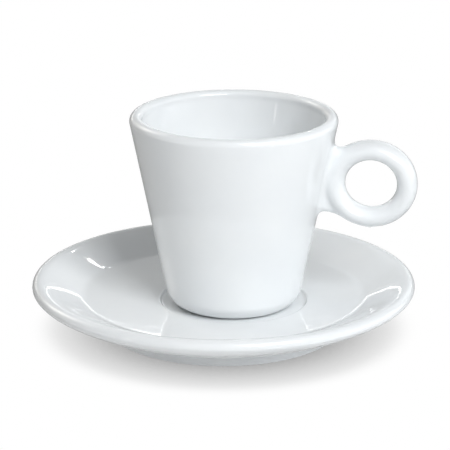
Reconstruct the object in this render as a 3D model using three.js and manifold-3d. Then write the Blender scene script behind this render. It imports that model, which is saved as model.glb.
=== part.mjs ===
// Espresso-size coffee cup standing in the well of its saucer, in glazed white porcelain.
// Millimetres, +Z up. The origin is the middle of the saucer's foot, on the table.
// +X points to the side where the cup's handle stands out.

import * as THREE from 'three';
import { mergeVertices } from 'three/addons/utils/BufferGeometryUtils.js';
import Module from 'manifold-3d';

const wasm = await Module();
wasm.setup();

// Saucer
const saucerRadius = 60;
const saucerHeight = 16.2;
const saucerRimThickness = 4.3;
const saucerFlangeWidth = 16;
const saucerFlangeSlope = 24;
const saucerCreaseEase = 1.4;
const saucerBedHeight = 10.55;
const saucerBedSlope = 5.5;
const saucerLevelRadius = 15;
const saucerUnderWidth = 9.5;
const saucerKneeHeight = 8;
const saucerKneeSlope = 24;
const saucerFootRadius = 37.2;
const saucerFootWidth = 3.6;
const saucerFootHeight = 3.9;
const saucerFootRounding = 0.6;
const saucerRecessDepth = 3;

// Well in the saucer's bed, set a little towards the handle side
const wellOffset = 3.2;
const wellDepth = 1.15;
const wellClearance = 1.6;
const wellCornerRadius = 1.6;

// Cup body
const cupHeight = 61;
const cupRimRadius = 32.15;
const cupLipThickness = 4;
const cupBaseRadius = 21.35;
const cupCornerRadius = 6;
const cupWallAtBase = 4.4;
const cupFloorThickness = 5;
const cupInnerCornerRadius = 9;
const cupFootWidth = 4;
const cupFootDepth = 1.2;

// Handle, a ring a little lower than it is wide, joined to the cup wall by a short web
const ringReach = 42.65;
const ringDropBelowRim = 20.6;
const ringRadius = 11.13;
const ringHeightShare = 0.956;
const ringTubeHalfWidth = 3.16;
const ringTubeHalfDepth = 4.5;
const webRiseAtWall = 11.2;
const webDropAtWall = 9;
const webFlatThickness = 2;
const webBevel = 1.6;
const webSweep = 4.5;
const webLowAngle = 232;
const handleGap = 0.3;

// Facets: steps round a full turn, and how far a facet may lie from the curve of a section
const turnSegments = 64;
const ringSegments = 48;
const facetError = 0.03;
const flangeSteps = 8;
const creaseSteps = 3;
const bedSteps = 4;
const underSteps = 8;
const webCurveSteps = 10;
const webBevelSteps = 3;

const toRadians = THREE.MathUtils.degToRad;

// Heights and radii that follow from the sizes above
const creaseRadius = saucerRadius - saucerFlangeWidth;
const bedDish = (Math.tan(toRadians(saucerBedSlope)) * (creaseRadius - saucerLevelRadius)) / 2;
const bedMiddleHeight = saucerBedHeight - bedDish;
const wellFloorHeight = bedMiddleHeight - wellDepth;
const ringHeight = cupHeight - ringDropBelowRim;

// How long the flange keeps its slope, as a share of its climb, and the level crown, as a share of the width
const flangeEase = 0.7;
const flangeRimEase = 0.14;

// The same for the underside: at the rim a share of the rim's half thickness, at the knee of the width
const underRimEase = 0.65;
const underKneeEase = 0.63;

// Points closer together than this are one point
const smallestStep = 1e-4;

// Points on an ellipse arc, from one angle to the other, in radians.
function arcPoints(centreX, centreY, radiusX, radiusY, fromAngle, toAngle) {
  const stepAngle = 2 * Math.acos(1 - facetError / Math.max(radiusX, radiusY));
  const steps = Math.ceil(Math.abs(toAngle - fromAngle) / stepAngle);
  const points = [];
  for (let i = 0; i <= steps; i += 1) {
    const angle = fromAngle + ((toAngle - fromAngle) * i) / steps;
    points.push(
      new THREE.Vector2(centreX + radiusX * Math.cos(angle), centreY + radiusY * Math.sin(angle)),
    );
  }
  return points;
}

// Angle of the unit normal n for which n dot (to - from) equals the given distance.
// The side picks which of the two normals is returned, +1 or -1.
function tangentNormalAngle(from, to, distance, side) {
  const span = new THREE.Vector2().subVectors(to, from);
  return span.angle() + side * Math.acos(distance / span.length());
}

// Drops points that repeat the one before them.
function withoutRepeats(points) {
  return points.filter((point, i) => i === 0 || point.distanceTo(points[i - 1]) > smallestStep);
}

// A solid of revolution about Z from a profile of (radius, height) points.
function turned(profile) {
  const geometry = new THREE.LatheGeometry(withoutRepeats(profile), turnSegments);
  geometry.rotateX(Math.PI / 2);
  return geometry;
}

// Closed solid of a geometry, for joining and cutting.
function solidOf(geometry) {
  const bare = geometry.clone();
  bare.deleteAttribute('normal');
  bare.deleteAttribute('uv');
  const merged = mergeVertices(bare, smallestStep);
  return new wasm.Manifold(
    new wasm.Mesh({
      numProp: 3,
      vertProperties: new Float32Array(merged.attributes.position.array),
      triVerts: new Uint32Array(merged.index.array),
    }),
  );
}

function geometryOf(solid) {
  const mesh = solid.getMesh();
  const geometry = new THREE.BufferGeometry();
  geometry.setAttribute('position', new THREE.BufferAttribute(mesh.vertProperties, 3));
  geometry.setIndex(new THREE.BufferAttribute(mesh.triVerts, 1));
  geometry.computeVertexNormals();
  return geometry;
}

// Top of the saucer from the crown of the rim to the middle of the bed: the flange falls at one slope
// to a soft crease, and the bed bends from its own slope there to level ground round the well.
function saucerTop(rimCrown) {
  const crease = new THREE.Vector2(creaseRadius, saucerBedHeight);
  const slope = toRadians(saucerFlangeSlope);
  const climb = new THREE.Vector2(Math.cos(slope), Math.sin(slope));
  const along = (length) => crease.clone().addScaledVector(climb, length);
  const flangeFoot = along(saucerCreaseEase);
  const flangeBend = along(((rimCrown.y - crease.y) / climb.y) * flangeEase);
  const rimBend = new THREE.Vector2(rimCrown.x - (rimCrown.x - crease.x) * flangeRimEase, rimCrown.y);
  const flange = new THREE.CubicBezierCurve(rimCrown, rimBend, flangeBend, flangeFoot);

  const bedRadius = creaseRadius - saucerCreaseEase;
  const bedShare = (bedRadius - saucerLevelRadius) / (creaseRadius - saucerLevelRadius);
  const bedEdge = new THREE.Vector2(bedRadius, bedMiddleHeight + bedDish * bedShare ** 2);
  const creaseBend = new THREE.QuadraticBezierCurve(flangeFoot, crease, bedEdge);
  const bedBend = new THREE.Vector2((bedRadius + saucerLevelRadius) / 2, bedMiddleHeight);
  const bedLevel = new THREE.Vector2(saucerLevelRadius, bedMiddleHeight);
  const bed = new THREE.QuadraticBezierCurve(bedEdge, bedBend, bedLevel);

  return [
    ...flange.getPoints(flangeSteps),
    ...creaseBend.getPoints(creaseSteps),
    ...bed.getPoints(bedSteps),
    new THREE.Vector2(0, bedMiddleHeight),
  ];
}

// Saucer: foot ring, underside that bends up at a knee, rolled rim and the dished top.
function saucerProfile() {
  const rimHalf = saucerRimThickness / 2;
  const rim = new THREE.Vector2(saucerRadius - rimHalf, saucerHeight - rimHalf);
  const rimPoints = arcPoints(rim.x, rim.y, rimHalf, rimHalf, 0, Math.PI / 2);

  const knee = new THREE.Vector2(saucerRadius - saucerUnderWidth, saucerKneeHeight);
  const kneeReach = saucerUnderWidth * underKneeEase;
  const kneeAngle = toRadians(saucerKneeSlope);
  const underBend = new THREE.Vector2(
    knee.x + kneeReach * Math.cos(kneeAngle),
    knee.y + kneeReach * Math.sin(kneeAngle),
  );
  const underRim = new THREE.Vector2(saucerRadius, rim.y - rimHalf * underRimEase);
  const under = new THREE.CubicBezierCurve(knee, underBend, underRim, rimPoints[0]);

  const footInner = saucerFootRadius - saucerFootWidth;
  const round = saucerFootRounding;

  return [
    new THREE.Vector2(0, saucerRecessDepth),
    new THREE.Vector2(footInner - saucerRecessDepth, saucerRecessDepth),
    ...arcPoints(footInner + round, round, round, round, Math.PI, 1.5 * Math.PI),
    ...arcPoints(saucerFootRadius - round, round, round, round, -Math.PI / 2, 0),
    new THREE.Vector2(saucerFootRadius, saucerFootHeight),
    ...under.getPoints(underSteps),
    ...rimPoints,
    ...saucerTop(rimPoints[rimPoints.length - 1]),
  ];
}

// Cutter for the well: flat floor with a rounded step up to the bed.
function wellProfile() {
  const radius = cupBaseRadius + wellClearance;
  const corner = wellCornerRadius;
  const floor = wellFloorHeight;
  return [
    new THREE.Vector2(0, floor),
    ...arcPoints(radius - corner, floor + corner, corner, corner, -Math.PI / 2, 0),
    new THREE.Vector2(radius, saucerHeight),
    new THREE.Vector2(0, saucerHeight),
  ];
}

// Where the cup's outer face is straight: the wall that touches both the base corner and the lip.
function cupWall() {
  const lip = cupLipThickness / 2;
  const lipCentre = new THREE.Vector2(cupRimRadius - lip, cupHeight - lip);
  const cornerCentre = new THREE.Vector2(cupBaseRadius - cupCornerRadius, cupCornerRadius);
  const angle = tangentNormalAngle(cornerCentre, lipCentre, cupCornerRadius - lip, -1);
  return { lip, lipCentre, cornerCentre, angle };
}

// Radius of the straight wall at a height above the cup's foot.
function wallRadiusAt(height) {
  const { lip, lipCentre, angle } = cupWall();
  const reach = lipCentre.x * Math.cos(angle) + lipCentre.y * Math.sin(angle) + lip;
  return (reach - height * Math.sin(angle)) / Math.cos(angle);
}

// Outline of the cup's outer face, from the foot's outer edge to the crown of the lip.
// A clearance of more than zero gives the same face set outwards by that much.
function cupOuterFace(clearance) {
  const { lip, lipCentre, cornerCentre, angle } = cupWall();
  const cornerR = cupCornerRadius + clearance;
  const lipR = lip + clearance;
  return [
    ...arcPoints(cornerCentre.x, cornerCentre.y, cornerR, cornerR, -Math.PI / 2, angle),
    ...arcPoints(lipCentre.x, lipCentre.y, lipR, lipR, angle, Math.PI / 2),
  ];
}

// Inner face, from the crown of the lip down the wall to the middle of the floor.
function cupInnerFace() {
  const lip = cupLipThickness / 2;
  const lipCentre = new THREE.Vector2(cupRimRadius - lip, cupHeight - lip);
  const corner = cupInnerCornerRadius;
  const innerRadius = cupBaseRadius - cupWallAtBase;
  const cornerCentre = new THREE.Vector2(innerRadius - corner, cupFloorThickness + corner);
  const wallAngle = tangentNormalAngle(cornerCentre, lipCentre, -(corner + lip), 1);
  return [
    ...arcPoints(lipCentre.x, lipCentre.y, lip, lip, Math.PI / 2, wallAngle),
    ...arcPoints(cornerCentre.x, cornerCentre.y, corner, corner, wallAngle - Math.PI, -Math.PI / 2),
    new THREE.Vector2(0, cupFloorThickness),
  ];
}

function cupProfile() {
  const outer = cupOuterFace(0);
  const footInner = outer[0].x - cupFootWidth;
  return [
    new THREE.Vector2(0, cupFootDepth),
    new THREE.Vector2(footInner - cupFootDepth, cupFootDepth),
    new THREE.Vector2(footInner, 0),
    ...outer,
    ...cupInnerFace(),
  ];
}

// The cup's outside as one full body, set outwards by the clearance.
function cupEnvelope(clearance) {
  const outer = cupOuterFace(clearance);
  return turned([
    new THREE.Vector2(0, outer[0].y),
    ...outer,
    new THREE.Vector2(0, outer[outer.length - 1].y),
  ]);
}

// Handle ring, turned about its own axis, which runs along Y.
function handleRing() {
  const section = arcPoints(ringRadius, 0, ringTubeHalfWidth, ringTubeHalfDepth, -Math.PI, Math.PI);
  section[section.length - 1].copy(section[0]);
  const geometry = new THREE.LatheGeometry(section, ringSegments);
  geometry.scale(1, 1, ringHeightShare);
  geometry.translate(ringReach, 0, ringHeight);
  return geometry;
}

// Web outline in the plane through the cup's axis: the top and bottom edges sweep from the wall
// into the ring, and the inner edge follows the middle of the ring's tube.
function webOutline() {
  const rootReach = cupBaseRadius - cupWallAtBase;
  const edgeRadius = ringRadius + ringTubeHalfWidth - webBevel;
  const top = ringHeight + webRiseAtWall - webBevel;
  const bottom = ringHeight - webDropAtWall + webBevel;
  const topRoot = wallRadiusAt(top);
  const bottomRoot = wallRadiusAt(bottom);
  const lowAngle = toRadians(webLowAngle);
  const edgeHeight = edgeRadius * ringHeightShare;
  const middleHeight = ringRadius * ringHeightShare;
  const lowX = ringReach + edgeRadius * Math.cos(lowAngle);
  const lowY = ringHeight + edgeHeight * Math.sin(lowAngle);
  const crown = ringHeight + edgeHeight;

  const shape = new THREE.Shape();
  shape.moveTo(rootReach, bottom);
  shape.lineTo(bottomRoot, bottom);
  shape.bezierCurveTo(
    bottomRoot + webSweep,
    bottom,
    lowX + webSweep * Math.sin(lowAngle),
    lowY - webSweep * Math.cos(lowAngle),
    lowX,
    lowY,
  );
  shape.absellipse(ringReach, ringHeight, ringRadius, middleHeight, lowAngle, Math.PI / 2, true);
  shape.lineTo(ringReach, crown);
  shape.bezierCurveTo(ringReach - webSweep, crown, topRoot + webSweep, top, topRoot, top);
  shape.lineTo(rootReach, top);
  shape.closePath();
  return shape;
}

function handleWeb() {
  const geometry = new THREE.ExtrudeGeometry(webOutline(), {
    depth: webFlatThickness,
    bevelEnabled: true,
    bevelThickness: webBevel,
    bevelSize: webBevel,
    bevelSegments: webBevelSteps,
    curveSegments: webCurveSteps,
  });
  geometry.translate(0, 0, -webFlatThickness / 2);
  geometry.rotateX(Math.PI / 2);
  return geometry;
}

function porcelain() {
  return new THREE.MeshStandardMaterial({ color: 0xf0f3f4, roughness: 0.12, metalness: 0 });
}

function namedMesh(name, geometry) {
  const mesh = new THREE.Mesh(geometry, porcelain());
  mesh.name = name;
  return mesh;
}

function makeSaucer() {
  const blank = solidOf(turned(saucerProfile()));
  const cutter = solidOf(turned(wellProfile()).translate(wellOffset, 0, 0));
  return namedMesh('saucer', geometryOf(blank.subtract(cutter)));
}

function makeCupBody() {
  return namedMesh('cup_body', turned(cupProfile()));
}

function makeCupHandle() {
  const handle = solidOf(handleRing()).add(solidOf(handleWeb()));
  return namedMesh('cup_handle', geometryOf(handle.subtract(solidOf(cupEnvelope(handleGap)))));
}

const cup = new THREE.Group();
cup.position.set(wellOffset, 0, wellFloorHeight);
cup.add(makeCupBody(), makeCupHandle());

const cupAndSaucer = new THREE.Group();
cupAndSaucer.add(makeSaucer(), cup);

export default cupAndSaucer;
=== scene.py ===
import math

import bpy
import numpy as np
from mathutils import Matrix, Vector


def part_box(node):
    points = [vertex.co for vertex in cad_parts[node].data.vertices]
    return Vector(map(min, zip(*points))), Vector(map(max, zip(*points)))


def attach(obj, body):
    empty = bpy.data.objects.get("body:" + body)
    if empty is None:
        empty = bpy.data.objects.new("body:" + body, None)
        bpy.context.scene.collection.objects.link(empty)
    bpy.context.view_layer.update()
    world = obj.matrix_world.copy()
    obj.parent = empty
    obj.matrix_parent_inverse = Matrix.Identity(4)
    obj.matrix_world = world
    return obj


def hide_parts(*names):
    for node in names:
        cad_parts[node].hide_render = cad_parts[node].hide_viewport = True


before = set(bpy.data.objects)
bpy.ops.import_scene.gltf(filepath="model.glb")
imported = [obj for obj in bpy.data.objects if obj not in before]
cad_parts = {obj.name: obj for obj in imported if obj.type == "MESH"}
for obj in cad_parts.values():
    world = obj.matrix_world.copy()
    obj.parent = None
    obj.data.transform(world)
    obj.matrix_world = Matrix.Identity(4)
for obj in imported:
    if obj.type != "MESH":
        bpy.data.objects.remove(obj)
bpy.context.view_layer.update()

# White porcelain coffee cup with a ring handle, standing in the well of its saucer.
# Sections and surfaces are worked out in millimetres and become metres when a mesh is made.
MM = 0.001

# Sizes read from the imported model
saucer_low, saucer_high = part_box("saucer")
cup_low, cup_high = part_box("cup_body")
_, handle_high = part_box("cup_handle")
SAUCER_RADIUS = (saucer_high.x - saucer_low.x) / 2 / MM
SAUCER_HEIGHT = saucer_high.z / MM
CUP_X = (cup_low.x + cup_high.x) / 2 / MM
CUP_BASE = cup_low.z / MM
CUP_HEIGHT = (cup_high.z - cup_low.z) / MM
CUP_RIM_RADIUS = (cup_high.y - cup_low.y) / 2 / MM

# Saucer
RIM_THICKNESS = 4.3
RIM_EASE = 0.14
FLANGE_WIDTH = 16
FLANGE_SLOPE = 24
FLANGE_EASE = 0.7
CREASE_EASE = 1.4
BED_HEIGHT = 10.55
BED_SLOPE = 5.5
BED_LEVEL_RADIUS = 8
AXIS_SHIFT_MARGIN = 2
UNDER_WIDTH = 9.5
KNEE_HEIGHT = 8
KNEE_SLOPE = 24
UNDER_RIM_EASE = 0.65
UNDER_KNEE_EASE = 0.63
WELL_RADIUS = 22.95
WELL_CORNER = 1.2
WELL_EDGE_ROUNDING = 0.9
FOOT_RADIUS = 37.2
FOOT_WIDTH = 3.6
FOOT_HEIGHT = 3.9
FOOT_ROUNDING = 0.6
RECESS_DEPTH = 3

# Cup body
LIP_THICKNESS = 4
LIP_BEAD = 0.3
BEAD_EASE = 1.3
BASE_RADIUS = 21.35
BASE_CORNER = 6
WALL_AT_BASE = 4.4
FLOOR_THICKNESS = 5
INNER_CORNER = 9
CUP_FOOT_WIDTH = 4
CUP_FOOT_DEPTH = 1.2

# Handle: a ring of oval section and a thinner web that fills the corners between ring and wall
RING_RADIUS = 11.13
RING_HEIGHT_SHARE = 0.956
TUBE_HALF_WIDTH = 3.16
TUBE_HALF_DEPTH = 4.5
RING_EDGE = RING_RADIUS + TUBE_HALF_WIDTH
RING_REACH = handle_high.x / MM - CUP_X - RING_EDGE
RING_HEIGHT = handle_high.z / MM - CUP_BASE - RING_EDGE * RING_HEIGHT_SHARE
WEB_RISE_AT_WALL = 10.75
WEB_CROWN_DROP = 1.3
WEB_DROP_AT_WALL = 9
WEB_LOW_BEND = 1.5
WEB_HALF_THICKNESS = 2.6
WEB_EDGE_ROUNDING = 1.8
WEB_BLEND = 1.6
ROOT_BLEND = 4.2
ROOT_SINK = 0.004
ROOT_DEPTH = 1.2

# Mesh fineness: points round a turn, then rings along each run of a section
TURN_SEGMENTS = 256
ARC_RINGS = 14
MIDDLE_RINGS = 6
BED_RINGS = 30
BED_FIRST_RING = 0.5
CREASE_RINGS = 12
FLANGE_RINGS = 48
UNDER_RINGS = 40
FOOT_WALL_RINGS = 12
CUP_WALL_RINGS = 24
BEAD_RINGS = 10
LIP_RINGS = 36
BASE_CORNER_RINGS = 20
SAUCER_POLE_RADIUS = 2
CUP_POLE_RADIUS = 1
SAME_POINT = 1e-4

# Mesh of the handle: cells of a grid, then steps that even it out
HANDLE_CELL = 0.36
HANDLE_MARGIN = 2
RELAX_STEPS = 8
FIRST_DROPS = 4
STEP_DROPS = 2
SLOPE_NUDGE = 0.01
LEAST_SLOPE = 0.05
TINY = 1e-6

# Glaze: slow drift of tint and roughness, waviness and fine orange peel
DRIFT_SCALE = 55
DRIFT_DETAIL = 3
DRIFT_RANGE = (0.3, 0.7)
GLAZE_TINTS = ((0.845, 0.868, 0.885), (0.87, 0.89, 0.9))
GLAZE_ROUGHNESS = (0.03, 0.05)
GLAZE_IOR = 1.52
WAVE_SCALE = 140
WAVE_DETAIL = 1
WAVE_STRENGTH = 0.12
WAVE_DEPTH = 0.4
PEEL_SCALE = 900
PEEL_DETAIL = 2
PEEL_STRENGTH = 0.03
PEEL_DEPTH = 0.1

# Bare fired clay under the foot rings
CLAY_TINT = (0.74, 0.71, 0.66)
CLAY_ROUGHNESS = 0.75
CLAY_EDGE = 0.12

# Camera of the photograph, turned about the saucer's axis so that the handle comes a little nearer
CAMERA_TURN = 8.3
CAMERA_DISTANCE = 661.1
CAMERA_HEIGHT = 243.3
CAMERA_TO_RIGHT = 0.45
CAMERA_PITCH = 17.65
CAMERA_LENS = 177.7
CAMERA_SENSOR = 36

# Tints of the light
WHITE = (1, 1, 1)
PALE = (0.975, 0.99, 1)
COOL = (0.94, 0.975, 1)
WARM = (1, 0.97, 0.925)

# Glows of the room: azimuth, elevation, sharpness, strength and tint
ROOM_GLOWS = (
    (0, 4, 20, 1.8, PALE),
    (32, 6, 30, 1.8, COOL),
    (60, 16, 60, 0.9, PALE),
    (90, 6, 30, 0.8, COOL),
    (70, 26, 30, 0.9, COOL),
    (100, 32, 90, 1.0, COOL),
    (115, 10, 60, 1.0, WARM),
    (136, 34, 34, 4.6, WARM),
    (185, 4, 20, 0.55, WARM),
    (240, 12, 8, 0.22, PALE),
    (300, 60, 12, 1.2, PALE),
)

# Lamps: name, azimuth, elevation, then distance, width and height in metres, brightness and tint
LAMPS = (
    ("key", -60, 37, 1.2, 0.62, 0.66, 6.8, PALE),
    ("left strip", 195, 3, 1.2, 1.05, 0.1, 1.9, WARM),
    ("streak", 214, 16, 1.5, 0.04, 0.8, 4.5, WARM),
    ("left spot", 84, 33.4, 0.41, 0.006, 0.004, 40, WHITE),
    ("right spot", 76, 35.8, 0.41, 0.005, 0.003, 40, WHITE),
)
# Watts for each square metre of a lamp at brightness 1
LAMP_POWER = 4

# Level bars of light behind the cup: elevation and brightness of each, and their shared place and size
BARS = ((10.6, 8), (11.2, 8), (11.7, 6), (13.7, 1.5))
BAR_AZIMUTH = 90
BAR_DISTANCE = 1.5
BAR_WIDTH = 2.4
BAR_HEIGHT = 0.004

# Floor: what it throws back, its painted shade in what the glaze mirrors of it, its painted glow out to some
# saucer radii, and the tones of its painted shadow
FLOOR_HALF_WIDTH = 3000
FLOOR_THROWN = 0.8
FLOOR_MIRRORED_PAINTED_SHADE = 0.3
FLOOR_PAINTED_GLOW = 0.22
FLOOR_PAINTED_GLOW_REACH = 1.4
OPEN_SKY_REACH = 500
OPEN_SKY_SAMPLES = 24
FLOOR_SHADOW_TONES = ((0, 0.2), (0.1, 0.5), (0.2, 0.69), (0.3, 0.78), (0.42, 0.92), (0.56, 1))


def direction(angle):
    """Unit vector of a section at an angle in degrees, outwards at 0 and upwards at 90."""
    turn = math.radians(angle)
    return np.array((math.cos(turn), math.sin(turn)))


def arc(middle, radius, start, end, count=ARC_RINGS):
    """Points of a circle between two angles in degrees, both ends included."""
    turn = np.radians(np.linspace(start, end, count))
    return np.column_stack((middle[0] + radius * np.cos(turn), middle[1] + radius * np.sin(turn)))


def line(start, end, count):
    share = np.linspace(0, 1, count)[:, None]
    return np.asarray(start) * (1 - share) + np.asarray(end) * share


def bezier(a, b, c, d, count):
    t = np.linspace(0, 1, count)[:, None]
    a, b, c, d = (np.asarray(p, float) for p in (a, b, c, d))
    return a * (1 - t) ** 3 + 3 * b * t * (1 - t) ** 2 + 3 * c * t**2 * (1 - t) + d * t**3


def bend(start, corner, end, count):
    """Parabola that leaves its start towards a corner and comes into its end from there."""
    return bezier(start, start + (corner - start) * 2 / 3, end + (corner - end) * 2 / 3, end, count)


def join(*runs):
    """One run of points from several, without the points that repeat where runs meet."""
    points = np.vstack(runs)
    gaps = np.linalg.norm(np.diff(points, axis=0), axis=1)
    return points[np.concatenate(([True], gaps > SAME_POINT))]


def smooth_step(value, low, high):
    share = np.clip((value - low) / (high - low), 0, 1)
    return share * share * (3 - 2 * share)


def add_piece(name, points, faces, material):
    """A smooth mesh object from points in millimetres."""
    mesh = bpy.data.meshes.new(name)
    mesh.from_pydata((np.asarray(points) * MM).tolist(), [], faces)
    mesh.shade_smooth()
    mesh.materials.append(material)
    piece = bpy.data.objects.new(name, mesh)
    bpy.context.scene.collection.objects.link(piece)
    return piece


def turned_mesh(profile, middles):
    """Points and faces of rings turned about upright axes.

    The profile runs from the axis, over the outside, back to the axis, as (radius, height). Each
    ring has its own middle along X. The first and last ring shrink to a single point.
    """
    turn = np.linspace(0, 2 * math.pi, TURN_SEGMENTS, endpoint=False)
    rings = profile[1:-1]
    x = middles[1:-1, None] + rings[:, :1] * np.cos(turn)
    y = rings[:, :1] * np.sin(turn)
    z = np.repeat(rings[:, 1:], TURN_SEGMENTS, axis=1)
    points = np.stack((x, y, z), -1).reshape(-1, 3)
    poles = [(middles[0], 0, profile[0, 1]), (middles[-1], 0, profile[-1, 1])]
    first_pole = len(points)
    points = np.vstack((points, poles))

    here = np.arange(TURN_SEGMENTS)
    after = np.roll(here, -1)
    faces = []
    for ring in range(len(rings) - 1):
        inner = ring * TURN_SEGMENTS
        outer = inner + TURN_SEGMENTS
        faces += np.column_stack((inner + here, outer + here, outer + after, inner + after)).tolist()
    last = (len(rings) - 1) * TURN_SEGMENTS
    faces += np.column_stack((np.full(TURN_SEGMENTS, first_pole), here, after)).tolist()
    faces += np.column_stack((np.full(TURN_SEGMENTS, first_pole + 1), last + after, last + here)).tolist()
    return points, faces


def bed_height(radius):
    """The bed bends up from level near the middle to its full slope at the crease."""
    width = SAUCER_RADIUS - FLANGE_WIDTH - BED_LEVEL_RADIUS
    dish = math.tan(math.radians(BED_SLOPE)) * width / 2
    return BED_HEIGHT - dish + dish * ((radius - BED_LEVEL_RADIUS) / width) ** 2


def well_step():
    """The step at the well's edge: a hollow arc and a rounded arc that meet at one slope."""
    bed_at_well = bed_height(WELL_RADIUS + WELL_EDGE_ROUNDING)
    well_depth = bed_at_well - CUP_BASE
    step_angle = math.degrees(math.acos(1 - well_depth / (WELL_CORNER + WELL_EDGE_ROUNDING)))
    run = math.sin(math.radians(step_angle))
    hollow_middle = (WELL_RADIUS - WELL_CORNER * run, CUP_BASE + WELL_CORNER)
    edge_middle = (WELL_RADIUS + WELL_EDGE_ROUNDING * run, bed_at_well - WELL_EDGE_ROUNDING)
    return join(
        arc(hollow_middle, WELL_CORNER, -90, -90 + step_angle),
        arc(edge_middle, WELL_EDGE_ROUNDING, 90 + step_angle, 90),
    )


def flange_and_rim():
    """The soft crease, the flange that climbs from it at one slope, and the rim that it rolls over into."""
    rim_half = RIM_THICKNESS / 2
    rim = arc((SAUCER_RADIUS - rim_half, SAUCER_HEIGHT - rim_half), rim_half, 90, 0)
    crease = np.array((SAUCER_RADIUS - FLANGE_WIDTH, BED_HEIGHT))
    climb = direction(FLANGE_SLOPE)
    climb_length = (rim[0][1] - crease[1]) / climb[1]
    flange = bezier(
        crease + climb * CREASE_EASE,
        crease + climb * climb_length * FLANGE_EASE,
        rim[0] - ((rim[0][0] - crease[0]) * RIM_EASE, 0),
        rim[0],
        FLANGE_RINGS,
    )
    bed_end = np.array((crease[0] - CREASE_EASE, bed_height(crease[0] - CREASE_EASE)))
    return join(bend(bed_end, crease, flange[0], CREASE_RINGS), flange, rim)


def saucer_underside():
    """From the edge of the rim to the knee above the foot ring."""
    rim_half = RIM_THICKNESS / 2
    rim_edge = np.array((SAUCER_RADIUS, SAUCER_HEIGHT - rim_half))
    knee = np.array((SAUCER_RADIUS - UNDER_WIDTH, KNEE_HEIGHT))
    return bezier(
        rim_edge,
        rim_edge - (0, rim_half * UNDER_RIM_EASE),
        knee + direction(KNEE_SLOPE) * UNDER_WIDTH * UNDER_KNEE_EASE,
        knee,
        UNDER_RINGS,
    )


def saucer_profile():
    """Section of the saucer from the middle of the well, over the rim, to the middle of the underside."""
    step = well_step()
    flange = flange_and_rim()
    under = saucer_underside()
    bed_radii = np.linspace(step[-1][0] + BED_FIRST_RING, flange[0][0], BED_RINGS)
    foot_inner = FOOT_RADIUS - FOOT_WIDTH
    return join(
        [(0, CUP_BASE)],
        line((SAUCER_POLE_RADIUS, CUP_BASE), step[0], MIDDLE_RINGS),
        step,
        np.column_stack((bed_radii, bed_height(bed_radii))),
        flange,
        under,
        line(under[-1], (FOOT_RADIUS, FOOT_HEIGHT), FOOT_WALL_RINGS),
        arc((FOOT_RADIUS - FOOT_ROUNDING, FOOT_ROUNDING), FOOT_ROUNDING, 0, -90),
        arc((foot_inner + FOOT_ROUNDING, FOOT_ROUNDING), FOOT_ROUNDING, 270, 180),
        [(foot_inner - RECESS_DEPTH, RECESS_DEPTH)],
        [(SAUCER_POLE_RADIUS, RECESS_DEPTH)],
        [(0, RECESS_DEPTH)],
    )


def make_saucer(material):
    """The well is round about the cup's axis. Across the bed the rings move over to the saucer's own axis."""
    profile = saucer_profile()
    on_top = np.arange(len(profile)) < np.argmax(profile[:, 1])
    start = WELL_RADIUS + AXIS_SHIFT_MARGIN
    end = SAUCER_RADIUS - FLANGE_WIDTH - AXIS_SHIFT_MARGIN
    share = 1 - smooth_step(profile[:, 0], start, end)
    middles = np.where(on_top, CUP_X * share, 0)
    points, faces = turned_mesh(profile, middles)
    return add_piece("saucer_glazed", points, faces, material)


def lip_circle():
    """Middle and radius of the lip's round section. Heights of the cup are from its base."""
    radius = LIP_THICKNESS / 2
    return np.array((CUP_RIM_RADIUS - radius, CUP_HEIGHT - radius)), radius


def base_corner_middle():
    return np.array((BASE_RADIUS - BASE_CORNER, BASE_CORNER))


def outer_wall_angle():
    """Angle in degrees of the normal of the straight wall that touches the lip and the base corner."""
    lip_middle, lip = lip_circle()
    span = lip_middle - base_corner_middle()
    return math.degrees(math.atan2(span[1], span[0]) - math.acos((BASE_CORNER - lip) / np.linalg.norm(span)))


def inside_of_cup():
    """From the floor, up the wall and over the lip, a bead that meets the wall in a hollow."""
    lip_middle, lip = lip_circle()
    corner_middle = np.array((BASE_RADIUS - WALL_AT_BASE - INNER_CORNER, FLOOR_THICKNESS + INNER_CORNER))
    span = lip_middle - corner_middle
    wall = lip - LIP_BEAD
    wall_angle = math.degrees(
        math.atan2(span[1], span[0]) + math.acos(-(INNER_CORNER + wall) / np.linalg.norm(span))
    )
    corner = arc(corner_middle, INNER_CORNER, -90, wall_angle - 180)

    meeting = wall_angle + math.degrees(math.acos(wall / lip))
    hollow = lip_middle + lip * direction(meeting)
    down_wall = corner[-1] - hollow
    wall_end = hollow + down_wall / np.linalg.norm(down_wall) * BEAD_EASE
    bead = arc(lip_middle, lip, meeting - math.degrees(BEAD_EASE / lip), outer_wall_angle(), LIP_RINGS)
    bead_foot = bezier(wall_end, hollow, hollow, bead[0], BEAD_RINGS)
    return join(corner, line(corner[-1], wall_end, CUP_WALL_RINGS), bead_foot, bead)


def cup_profile():
    """Section of the cup from the middle of its floor, over the lip, to the middle of the underside."""
    inside = inside_of_cup()
    corner_middle = base_corner_middle()
    outside_corner = arc(corner_middle, BASE_CORNER, outer_wall_angle(), -90, BASE_CORNER_RINGS)
    foot_inner = corner_middle[0] - CUP_FOOT_WIDTH
    return join(
        [(0, FLOOR_THICKNESS)],
        line((CUP_POLE_RADIUS, FLOOR_THICKNESS), inside[0], MIDDLE_RINGS),
        inside,
        line(inside[-1], outside_corner[0], CUP_WALL_RINGS),
        outside_corner,
        [(foot_inner, 0)],
        [(foot_inner - CUP_FOOT_DEPTH, CUP_FOOT_DEPTH)],
        [(CUP_POLE_RADIUS, CUP_FOOT_DEPTH)],
        [(0, CUP_FOOT_DEPTH)],
    )


def make_cup_body(material):
    profile = cup_profile() + (0, CUP_BASE)
    points, faces = turned_mesh(profile, np.full(len(profile), CUP_X))
    return add_piece("cup_body_glazed", points, faces, material)


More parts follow.
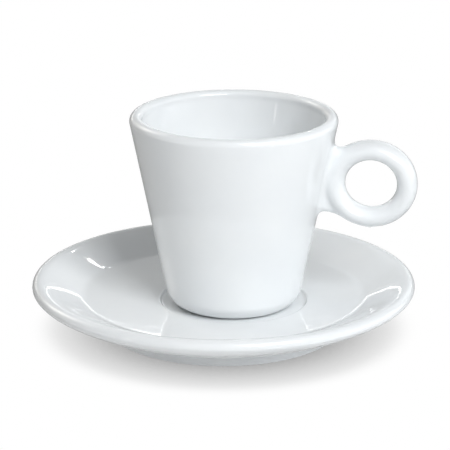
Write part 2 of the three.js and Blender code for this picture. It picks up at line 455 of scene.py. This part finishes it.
def smooth_min(a, b, width):
    """The smaller of two distances, rounded over where they are within the width of each other."""
    blend = np.maximum(width - np.abs(a - b), 0) / width
    return np.minimum(a, b) - blend**3 * width / 6


def ring_distance(x, y, z):
    across = np.hypot(x - RING_REACH, (z - RING_HEIGHT) / RING_HEIGHT_SHARE) - RING_RADIUS
    size = np.hypot(across / TUBE_HALF_WIDTH, y / TUBE_HALF_DEPTH)
    steepness = np.hypot(across / TUBE_HALF_WIDTH**2, y / TUBE_HALF_DEPTH**2)
    return size * (size - 1) / np.maximum(steepness, TINY)


def web_distance(x, y, z):
    """The web: a slab with rounded edges between the wall and the middle of the ring's tube."""
    crown = RING_EDGE * RING_HEIGHT_SHARE
    top_root = wall_radius(RING_HEIGHT + WEB_RISE_AT_WALL)
    bottom_root = wall_radius(RING_HEIGHT - WEB_DROP_AT_WALL)
    top_share = smooth_step(x, top_root, RING_REACH)
    top = RING_HEIGHT + WEB_RISE_AT_WALL + (crown - WEB_CROWN_DROP - WEB_RISE_AT_WALL) * top_share
    bottom_share = np.clip((x - bottom_root) / (RING_REACH - bottom_root), 0, 1) ** WEB_LOW_BEND
    bottom = RING_HEIGHT - WEB_DROP_AT_WALL - (crown - WEB_DROP_AT_WALL) * bottom_share
    inside_ring = RING_RADIUS - np.hypot(x - RING_REACH, (z - RING_HEIGHT) / RING_HEIGHT_SHARE)
    outline = np.maximum.reduce((z - top, bottom - z, x - RING_REACH, inside_ring))
    edge = outline + WEB_EDGE_ROUNDING
    side = np.abs(y) - WEB_HALF_THICKNESS + WEB_EDGE_ROUNDING
    outside = np.hypot(np.maximum(edge, 0), np.maximum(side, 0))
    return outside + np.minimum(np.maximum(edge, side), 0) - WEB_EDGE_ROUNDING


def outer_wall():
    """Unit normal of the cup's outer wall, and the wall's distance along it from the middle of the base."""
    lip_middle, lip = lip_circle()
    normal = direction(outer_wall_angle())
    return normal, normal @ lip_middle + lip


def wall_radius(height):
    normal, offset = outer_wall()
    return (offset - height * normal[1]) / normal[0]


def wall_distance(x, y, z):
    normal, offset = outer_wall()
    return normal[0] * np.hypot(x, y) + normal[1] * z - offset


def handle_distance(points):
    """Handle and the fillet of its root, which dies away just under the face of the cup's wall."""
    x, y, z = points[..., 0], points[..., 1], points[..., 2]
    grip = smooth_min(ring_distance(x, y, z), web_distance(x, y, z), WEB_BLEND)
    wall = wall_distance(x, y, z)
    rooted = smooth_min(grip, wall + ROOT_SINK, ROOT_BLEND)
    return np.maximum.reduce((rooted, -wall - ROOT_DEPTH, grip - ROOT_BLEND - ROOT_DEPTH))


def slope_of(distance, points):
    steps = np.eye(3) * SLOPE_NUDGE
    return np.stack([(distance(points + s) - distance(points - s)) / (2 * SLOPE_NUDGE) for s in steps], -1)


def drop_onto(distance, points, times):
    """Moves points along the slope of the distance until they lie on its surface."""
    for _ in range(times):
        slope = slope_of(distance, points)
        length = np.maximum((slope**2).sum(-1, keepdims=True), LEAST_SLOPE)
        points = points - np.clip(distance(points)[:, None] * slope / length, -HANDLE_CELL, HANDLE_CELL)
    return points


def surface_mesh(distance, low, high, cell):
    """Closed quad mesh where the distance is zero, with one point in each cell that the surface crosses."""
    low = np.asarray(low, float)
    counts = np.ceil((np.asarray(high) - low) / cell).astype(int)
    grid = np.stack(np.meshgrid(*[np.arange(n + 1) for n in counts], indexing="ij"), -1)
    inside = distance(low + grid * cell) < 0

    corners = [inside[i:counts[0] + i, j:counts[1] + j, k:counts[2] + k]
               for i in (0, 1) for j in (0, 1) for k in (0, 1)]
    filled = np.sum(corners, axis=0)
    crossed = (filled > 0) & (filled < 8)
    number = np.full(crossed.shape, -1)
    number[crossed] = np.arange(crossed.sum())
    points = low + (np.argwhere(crossed) + 0.5) * cell

    faces = []
    for axis in range(3):
        across, along = (axis + 1) % 3, (axis + 2) % 3
        start = np.take(inside, np.arange(counts[axis]), axis)
        end = np.take(inside, np.arange(1, counts[axis] + 1), axis)
        for leaving in (True, False):
            edges = np.argwhere(start & ~end if leaving else end & ~start)
            ring = []
            for back_across, back_along in ((0, 0), (1, 0), (1, 1), (0, 1)):
                cell_at = edges.copy()
                cell_at[:, across] -= back_across
                cell_at[:, along] -= back_along
                ring.append(number[tuple(cell_at.T)])
            quads = np.stack(ring if leaving else ring[::-1], -1)
            faces.append(quads)
    return points, np.vstack(faces)


def relax(distance, points, faces):
    """Evens out the mesh: each point moves to the middle of its neighbours and back onto the surface."""
    points = drop_onto(distance, points, FIRST_DROPS)
    pairs = np.vstack([faces[:, [i, (i + 1) % 4]] for i in range(4)])
    for _ in range(RELAX_STEPS):
        total = np.zeros_like(points)
        count = np.zeros(len(points))
        for a, b in ((0, 1), (1, 0)):
            np.add.at(total, pairs[:, a], points[pairs[:, b]])
            np.add.at(count, pairs[:, a], 1)
        points = drop_onto(distance, (points + total / count[:, None]) / 2, STEP_DROPS)
    return points


def make_cup_handle(material):
    inner = wall_radius(0) - HANDLE_MARGIN
    reach = RING_EDGE + HANDLE_MARGIN
    depth = TUBE_HALF_DEPTH + ROOT_BLEND + 2 * HANDLE_MARGIN
    low = (inner, -depth, RING_HEIGHT - reach - HANDLE_MARGIN)
    high = (RING_REACH + reach, depth, RING_HEIGHT + reach + HANDLE_MARGIN)
    points, faces = surface_mesh(handle_distance, low, high, HANDLE_CELL)
    points = relax(handle_distance, points, faces)
    return add_piece("cup_handle_glazed", points + (CUP_X, 0, CUP_BASE), faces.tolist(), material)


def node(tree, kind, **settings):
    """A shader node whose settings are values of its sockets or, failing that, its own properties."""
    made = tree.nodes.new(kind)
    for name, value in settings.items():
        if name in made.inputs:
            made.inputs[name].default_value = value
        else:
            setattr(made, name, value)
    return made


def noise(tree, place, scale, detail):
    made = node(tree, "ShaderNodeTexNoise", Scale=scale, Detail=detail)
    tree.links.new(place, made.inputs["Vector"])
    return made.outputs["Fac"]


def ramp(tree, value, stops, interpolation="LINEAR"):
    """Colour that runs through stops, each a place from 0 to 1 and a colour."""
    made = node(tree, "ShaderNodeValToRGB")
    made.color_ramp.interpolation = interpolation
    elements = made.color_ramp.elements
    while len(elements) < len(stops):
        elements.new(0.5)
    for element, (place, colour) in zip(elements, stops):
        element.position = place
        element.color = (*colour, 1)
    tree.links.new(value, made.inputs["Fac"])
    return made.outputs["Color"]


def map_range(tree, value, source, target, interpolation="LINEAR"):
    """The value's range taken over to another range."""
    made = node(tree, "ShaderNodeMapRange", interpolation_type=interpolation)
    made.inputs["From Min"].default_value, made.inputs["From Max"].default_value = source
    made.inputs["To Min"].default_value, made.inputs["To Max"].default_value = target
    tree.links.new(value, made.inputs["Value"])
    return made.outputs["Result"]


def bump(tree, height, strength, depth):
    """Bump node for a height, with its depth in millimetres."""
    made = node(tree, "ShaderNodeBump", Strength=strength, Distance=depth * MM)
    tree.links.new(height, made.inputs["Height"])
    return made


def glaze_normal(tree, place):
    """Faint waviness of the glaze under its fine orange peel."""
    wave = bump(tree, noise(tree, place, WAVE_SCALE, WAVE_DETAIL), WAVE_STRENGTH, WAVE_DEPTH)
    peel = bump(tree, noise(tree, place, PEEL_SCALE, PEEL_DETAIL), PEEL_STRENGTH, PEEL_DEPTH)
    tree.links.new(wave.outputs["Normal"], peel.inputs["Normal"])
    return peel.outputs["Normal"]


def porcelain(name, foot_height):
    """White porcelain under a clear glaze. The foot ring stands bare below the given height."""
    material = bpy.data.materials.new(name)
    material.use_nodes = True
    tree = material.node_tree
    shader = tree.nodes["Principled BSDF"]
    shader.inputs["IOR"].default_value = GLAZE_IOR
    place = node(tree, "ShaderNodeTexCoord").outputs["Object"]
    drift = noise(tree, place, DRIFT_SCALE, DRIFT_DETAIL)
    tint = ramp(tree, drift, tuple(zip(DRIFT_RANGE, GLAZE_TINTS)))
    sheen = map_range(tree, drift, DRIFT_RANGE, GLAZE_ROUGHNESS)

    # Share of bare clay: all of it at the very bottom of the foot ring
    height = node(tree, "ShaderNodeSeparateXYZ")
    tree.links.new(place, height.inputs["Vector"])
    clay_edge = (foot_height * MM, (foot_height + CLAY_EDGE) * MM)
    bare = map_range(tree, height.outputs["Z"], clay_edge, (1, 0), "SMOOTHSTEP")
    for kind, glazed, clay, target in (
        ("RGBA", tint, (*CLAY_TINT, 1), "Base Color"),
        ("FLOAT", sheen, CLAY_ROUGHNESS, "Roughness"),
    ):
        mix = node(tree, "ShaderNodeMix", data_type=kind)
        mix.inputs["B"].default_value = clay
        tree.links.new(bare, mix.inputs["Factor"])
        tree.links.new(glazed, mix.inputs["A"])
        tree.links.new(mix.outputs["Result"], shader.inputs[target])
    tree.links.new(glaze_normal(tree, place), shader.inputs["Normal"])
    return material


def thrown_light_and_painted_glow(tree, ray):
    """Light that the paper throws back, painted darker in the glaze to stand in for its shade near the
    saucer, with a painted glow under and around the saucer that comes up to light the saucer's underside.
    """
    # Painted shade: the paper that the glaze mirrors is darker than the paper that throws light
    thrown = node(tree, "ShaderNodeMix", data_type="RGBA")
    thrown.inputs["A"].default_value = (FLOOR_THROWN, FLOOR_THROWN, FLOOR_THROWN, 1)
    thrown.inputs["B"].default_value = (FLOOR_MIRRORED_PAINTED_SHADE, FLOOR_MIRRORED_PAINTED_SHADE, FLOOR_MIRRORED_PAINTED_SHADE, 1)
    tree.links.new(ray.outputs["Is Glossy Ray"], thrown.inputs["Factor"])
    paper = node(tree, "ShaderNodeBsdfDiffuse")
    tree.links.new(thrown.outputs["Result"], paper.inputs["Color"])

    # Painted glow: the paper glows under the saucer and fades out beyond its rim, though it is no lamp,
    # lighting the underside and foot
    place = node(tree, "ShaderNodeNewGeometry")
    radius = node(tree, "ShaderNodeVectorMath", operation="LENGTH")
    tree.links.new(place.outputs["Position"], radius.inputs[0])
    edge = (SAUCER_RADIUS * MM, SAUCER_RADIUS * MM * FLOOR_PAINTED_GLOW_REACH)
    fade = map_range(tree, radius.outputs["Value"], edge, (FLOOR_PAINTED_GLOW, 0), "SMOOTHSTEP")
    painted_glow = node(tree, "ShaderNodeEmission")
    tree.links.new(fade, painted_glow.inputs["Strength"])
    both = node(tree, "ShaderNodeAddShader")
    tree.links.new(paper.outputs["BSDF"], both.inputs[0])
    tree.links.new(painted_glow.outputs["Emission"], both.inputs[1])
    return both.outputs["Shader"]


def seen_paper_with_painted_shadow(tree):
    """Tone of the paper for the camera: white, with a painted shadow set by the share of the sky that the
    object leaves open above it.
    """
    reach = OPEN_SKY_REACH * MM
    open_sky = node(tree, "ShaderNodeAmbientOcclusion", samples=OPEN_SKY_SAMPLES, Distance=reach)
    # Painted shadow: the ramp darkens the paper's glow where the object hides the sky
    stops = [(share, (grey, grey, grey)) for share, grey in FLOOR_SHADOW_TONES]
    seen = node(tree, "ShaderNodeEmission")
    tree.links.new(ramp(tree, open_sky.outputs["AO"], stops, "CARDINAL"), seen.inputs["Color"])
    return seen.outputs["Emission"]


def paper_material():
    material = bpy.data.materials.new("paper")
    material.use_nodes = True
    tree = material.node_tree
    tree.nodes.clear()
    ray = node(tree, "ShaderNodeLightPath")
    both = node(tree, "ShaderNodeMixShader")
    tree.links.new(ray.outputs["Is Camera Ray"], both.inputs["Fac"])
    tree.links.new(thrown_light_and_painted_glow(tree, ray), both.inputs[1])
    tree.links.new(seen_paper_with_painted_shadow(tree), both.inputs[2])
    output = node(tree, "ShaderNodeOutputMaterial")
    tree.links.new(both.outputs["Shader"], output.inputs["Surface"])
    return material


def make_floor():
    """Level white paper."""
    half = FLOOR_HALF_WIDTH
    points = [(-half, -half, 0), (half, -half, 0), (half, half, 0), (-half, half, 0)]
    return add_piece("floor", points, [(0, 1, 2, 3)], paper_material())


def towards(azimuth, elevation):
    """Direction to a light. The azimuth runs from the picture's right to its back, in degrees."""
    turn, rise = math.radians(azimuth + CAMERA_TURN), math.radians(elevation)
    return Vector((math.cos(rise) * math.cos(turn), math.cos(rise) * math.sin(turn), math.sin(rise)))


def glow_share(tree, place, azimuth, elevation, sharpness):
    """1 in one direction, dying away round it."""
    facing = node(tree, "ShaderNodeVectorMath", operation="DOT_PRODUCT")
    facing.inputs[1].default_value = towards(azimuth, elevation)
    tree.links.new(place, facing.inputs[0])
    fall = node(tree, "ShaderNodeMath", operation="MULTIPLY_ADD")
    fall.inputs[1].default_value = sharpness
    fall.inputs[2].default_value = -sharpness
    tree.links.new(facing.outputs["Value"], fall.inputs[0])
    share = node(tree, "ShaderNodeMath", operation="EXPONENT")
    tree.links.new(fall.outputs["Value"], share.inputs[0])
    return share.outputs["Value"]


def set_world():
    """Dim room with soft glows on its walls."""
    world = bpy.data.worlds.new("studio")
    bpy.context.scene.world = world
    world.use_nodes = True
    tree = world.node_tree
    place = node(tree, "ShaderNodeTexCoord").outputs["Generated"]
    total = None
    for azimuth, elevation, sharpness, strength, tint in ROOM_GLOWS:
        level = node(tree, "ShaderNodeVectorMath", operation="MULTIPLY_ADD")
        tree.links.new(glow_share(tree, place, azimuth, elevation, sharpness), level.inputs[0])
        level.inputs[1].default_value = Vector(tint) * strength
        if total is not None:
            tree.links.new(total, level.inputs[2])
        total = level.outputs["Vector"]
    tree.links.new(total, tree.nodes["Background"].inputs["Color"])


def add_soft_box(name, azimuth, elevation, distance, width, height, brightness, tint):
    """Flat lamp that faces the saucer and isn't seen by the camera."""
    lamp = bpy.data.lights.new(name, "AREA")
    lamp.shape = "RECTANGLE"
    lamp.size = width
    lamp.size_y = height
    lamp.energy = LAMP_POWER * width * height * brightness
    lamp.color = tint
    box = bpy.data.objects.new(name, lamp)
    away = towards(azimuth, elevation)
    box.location = Vector((0, 0, SAUCER_HEIGHT * MM)) + away * distance
    box.rotation_euler = away.to_track_quat("Z", "Y").to_euler()
    box.visible_camera = False
    bpy.context.scene.collection.objects.link(box)


def add_camera():
    lens = bpy.data.cameras.new("camera")
    lens.lens = CAMERA_LENS
    lens.sensor_width = CAMERA_SENSOR
    camera = bpy.data.objects.new("camera", lens)
    turn = math.radians(CAMERA_TURN)
    right = Vector((math.cos(turn), math.sin(turn), 0))
    back = Vector((math.sin(turn), -math.cos(turn), 0))
    up = Vector((0, 0, 1))
    camera.location = (right * CAMERA_TO_RIGHT + back * CAMERA_DISTANCE + up * CAMERA_HEIGHT) * MM
    camera.rotation_euler = (math.radians(90 - CAMERA_PITCH), 0, turn)
    bpy.context.scene.collection.objects.link(camera)
    bpy.context.scene.camera = camera


saucer = make_saucer(porcelain("saucer_glaze", 0))
cup_glaze = porcelain("cup_glaze", CUP_BASE)
cup_body = make_cup_body(cup_glaze)
cup_handle = make_cup_handle(cup_glaze)
for piece, body, cad_node, slot in (
    (saucer, "saucer", "saucer", "saucer_porcelain"),
    (cup_body, "cup", "cup_body", "cup_porcelain"),
    (cup_handle, "cup", "cup_handle", "cup_porcelain"),
):
    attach(piece, body)
    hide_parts(cad_node)

make_floor()
set_world()
for lamp in LAMPS:
    add_soft_box(*lamp)
for elevation, brightness in BARS:
    add_soft_box("bar", BAR_AZIMUTH, elevation, BAR_DISTANCE, BAR_WIDTH, BAR_HEIGHT, brightness, WHITE)
add_camera()
bpy.context.scene.view_settings.view_transform = "Standard"
